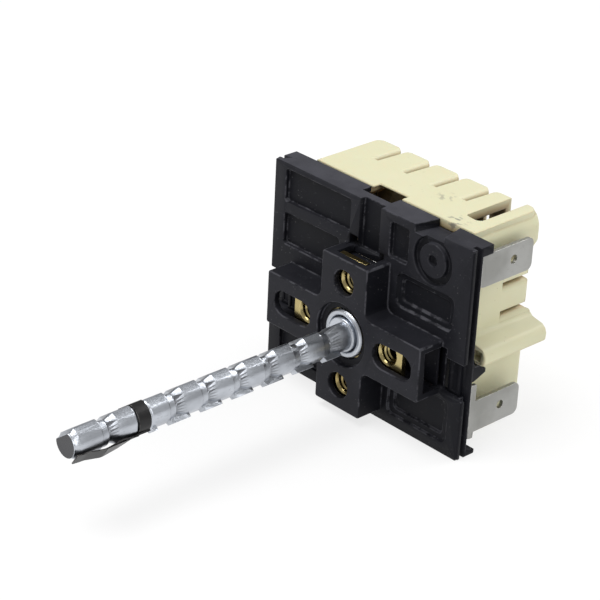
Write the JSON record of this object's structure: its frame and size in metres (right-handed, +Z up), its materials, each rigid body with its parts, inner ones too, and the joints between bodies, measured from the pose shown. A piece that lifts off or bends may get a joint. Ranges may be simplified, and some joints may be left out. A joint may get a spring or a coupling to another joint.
{
  "type": "infinite switch",
  "caption": "Rotary energy regulator for a cooker hotplate: push-to-turn ribbed shaft, black cover with cross boss, ivory housing and blade terminals.",
  "frame": {"origin": "middle of the switch's length and width, at the lower edge it stands on", "axes": "+Z up; the shaft points along -Y, towards the cooker's panel; +X to the right as seen from the shaft's side"},
  "size_m": [0.05, 0.09, 0.0414],
  "materials": {
    "black_phenolic": "fine matt, worn edges",
    "ivory_phenolic": "satin moulding",
    "cam_nylon": "satin moulding",
    "brass_strap": "bright stamped",
    "phosphor_bronze": "rolled",
    "tinned_brass": "matt tin",
    "cast_shaft_metal": "as cast",
    "plated_steel": "bright plated",
    "black_spring_steel": "black oxide",
    "silver_contact": "polished",
    "bimetal": "rolled",
    "heater_alloy": "oxidised",
    "mica_sleeve": "fibrous"
  },
  "bodies": {
    "switch_body": {"front_cover": "black_phenolic", "rear_housing": "ivory_phenolic", "mounting_plate": "brass_strap", "shaft_bushing": "cast_shaft_metal", "line_terminal_lower": "tinned_brass", "heater_terminal_right": "tinned_brass", "line_terminal_left": "tinned_brass", "heater_terminal_left": "tinned_brass", "pilot_terminal": "tinned_brass", "line_blade_rivet": "brass_strap", "pilot_blade_rivet": "brass_strap", "cycling_blade_rivet": "brass_strap", "line_fixed_contact": "silver_contact", "pilot_fixed_contact": "silver_contact", "cycling_fixed_contact": "silver_contact", "lever_pivot_pin": "plated_steel"},
    "cam_body": {"cam": "cam_nylon", "return_spring": "plated_steel"},
    "shaft_body": {"shaft": "cast_shaft_metal", "knob_clip": "black_spring_steel", "shaft_retaining_ring": "black_spring_steel"},
    "line_blade": {"line_switch_blade": "phosphor_bronze", "line_moving_contact": "silver_contact"},
    "pilot_blade": {"pilot_switch_blade": "phosphor_bronze", "pilot_moving_contact": "silver_contact"},
    "cycling_pole": {"cycling_blade": "phosphor_bronze", "cycling_moving_contact": "silver_contact"},
    "lever_body": {"adjusting_lever": "cam_nylon", "calibration_screw": "plated_steel", "bimetal_rivet": "brass_strap"},
    "bimetal_body": {"bimetal_blade": "bimetal", "heater_insulator": "mica_sleeve", "heater_ribbon": "heater_alloy", "transfer_pin": "mica_sleeve"},
    "detent": {"detent_spring": "plated_steel"}
  },
  "joints": [
    {"name": "cam_turn", "type": "hinge", "parent": "switch_body", "child": "cam_body", "pos_m": [0, 0.0307, 0.0168], "axis": [0, -1, 0], "continuous": true},
    {"name": "shaft_push", "type": "slide", "parent": "cam_body", "child": "shaft_body", "axis": [0, 1, 0], "range_m": [0, 0.0018], "stiffness_N_per_m": 600, "springref_m": -0.003, "deforming": ["return_spring"]},
    {"name": "line_blade_flex", "type": "hinge", "parent": "switch_body", "child": "line_blade", "pos_m": [0.0115, 0.0298, 0.006], "axis": [0, -1, 0], "range_deg": [0, 3], "stiffness_Nm_per_rad": 0.02, "springref_deg": -2.86},
    {"name": "pilot_blade_flex", "type": "hinge", "parent": "switch_body", "child": "pilot_blade", "pos_m": [-0.0142, 0.03285, 0.0065], "axis": [0, -1, 0], "range_deg": [0, 2.5], "stiffness_Nm_per_rad": 0.02, "springref_deg": -2.86},
    {"name": "cycling_blade_flex", "type": "hinge", "parent": "switch_body", "child": "cycling_pole", "pos_m": [-0.0115, 0.0298, 0.0206], "axis": [0, 1, 0], "range_deg": [0, 3], "stiffness_Nm_per_rad": 0.02, "springref_deg": -2.86},
    {"name": "lever_tilt", "type": "hinge", "parent": "switch_body", "child": "lever_body", "pos_m": [-0.0152, 0.0364, 0.0062], "axis": [0, -1, 0], "range_deg": [0, 1], "stiffness_Nm_per_rad": 0.05, "springref_deg": -2.86},
    {"name": "bimetal_flex", "type": "hinge", "parent": "lever_body", "child": "bimetal_body", "pos_m": [-0.0154, 0.0364, 0.0094], "axis": [0, 1, 0], "range_deg": [0, 1.2], "stiffness_Nm_per_rad": 0.05, "springref_deg": -2.86},
    {"name": "detent_flex", "type": "hinge", "parent": "switch_body", "child": "detent", "pos_m": [-0.0125, 0.02625, 0.0278], "axis": [0, -1, 0], "range_deg": [0, 3], "stiffness_Nm_per_rad": 0.02, "springref_deg": -2.86}
  ]
}
